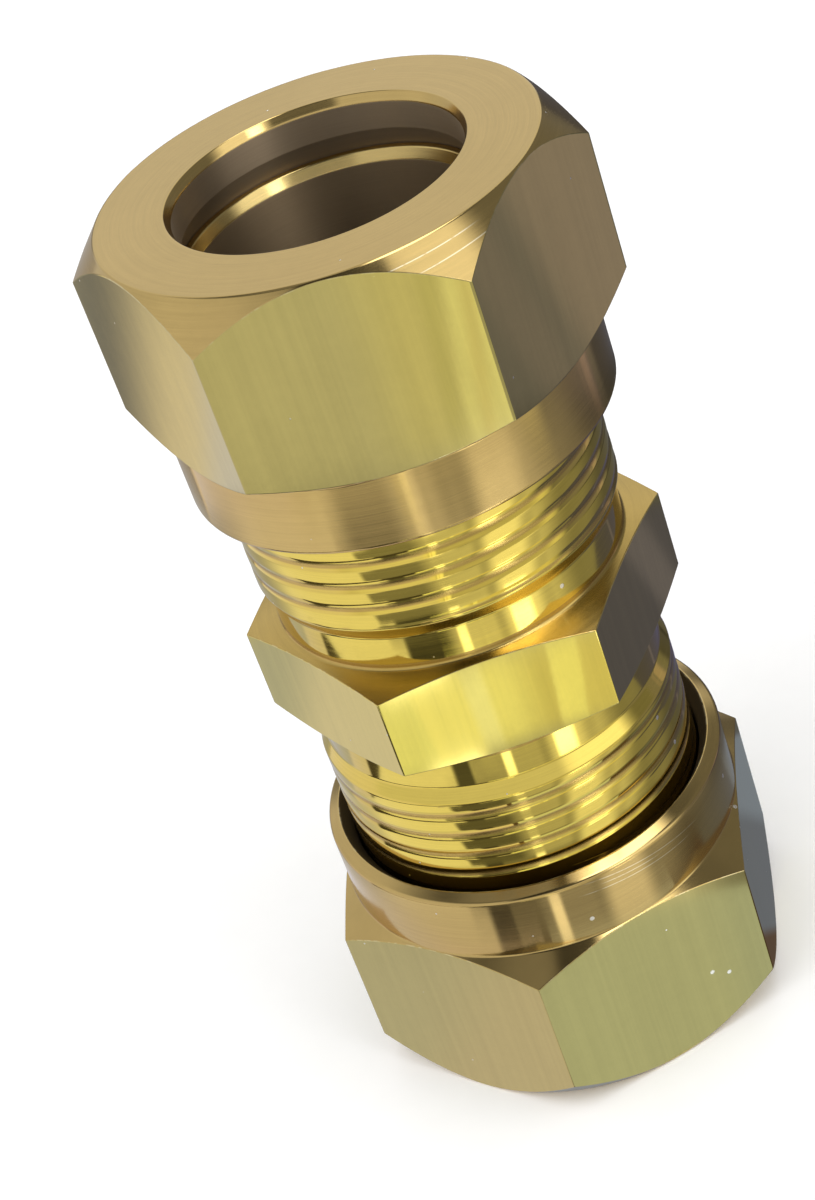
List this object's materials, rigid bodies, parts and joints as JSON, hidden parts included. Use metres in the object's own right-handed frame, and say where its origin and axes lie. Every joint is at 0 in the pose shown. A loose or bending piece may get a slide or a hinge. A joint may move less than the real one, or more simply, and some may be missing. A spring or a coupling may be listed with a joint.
{
  "type": "double union connector",
  "caption": "Straight brass compression union for two pipes: threaded body with a centre hexagon, a union nut and an olive at each end.",
  "frame": {"origin": "middle of the coupling body's hexagon, on the axis of both pipes", "axes": "+Z along the pipes, towards the upper nut; +X through a corner of the body's hexagon"},
  "size_m": [0.0286, 0.028, 0.058],
  "materials": {
    "body_brass": "polished",
    "nut_brass": "satin",
    "olive_brass": "turned"
  },
  "bodies": {
    "coupling_body": {"coupling_body": "body_brass"},
    "upper_olive": {"upper_olive": "olive_brass"},
    "upper_nut": {"upper_nut": "nut_brass"},
    "lower_olive": {"lower_olive": "olive_brass"},
    "lower_nut": {"lower_nut": "nut_brass"}
  },
  "joints": [
    {"name": "upper_olive_slide", "type": "slide", "parent": "coupling_body", "child": "upper_olive", "axis": [0, 0, 1], "range_m": [-0.00526, 0.00151]},
    {"name": "upper_nut_turn", "type": "hinge", "parent": "upper_olive", "child": "upper_nut", "pos_m": [0, 0, 0.029], "axis": [0, 0, 1], "range_deg": [-1260, 360]},
    {"name": "lower_olive_slide", "type": "slide", "parent": "coupling_body", "child": "lower_olive", "axis": [0, 0, -1], "range_m": [-0.00526, 0.00151]},
    {"name": "lower_nut_turn", "type": "hinge", "parent": "lower_olive", "child": "lower_nut", "pos_m": [0, 0, -0.029], "axis": [0, 0, -1], "range_deg": [-1260, 360]}
  ],
  "couplings": [
    {"joint": "upper_olive_slide", "follows": "upper_nut_turn", "m_per_rad": 0.00023873},
    {"joint": "lower_olive_slide", "follows": "lower_nut_turn", "m_per_rad": 0.00023873}
  ]
}
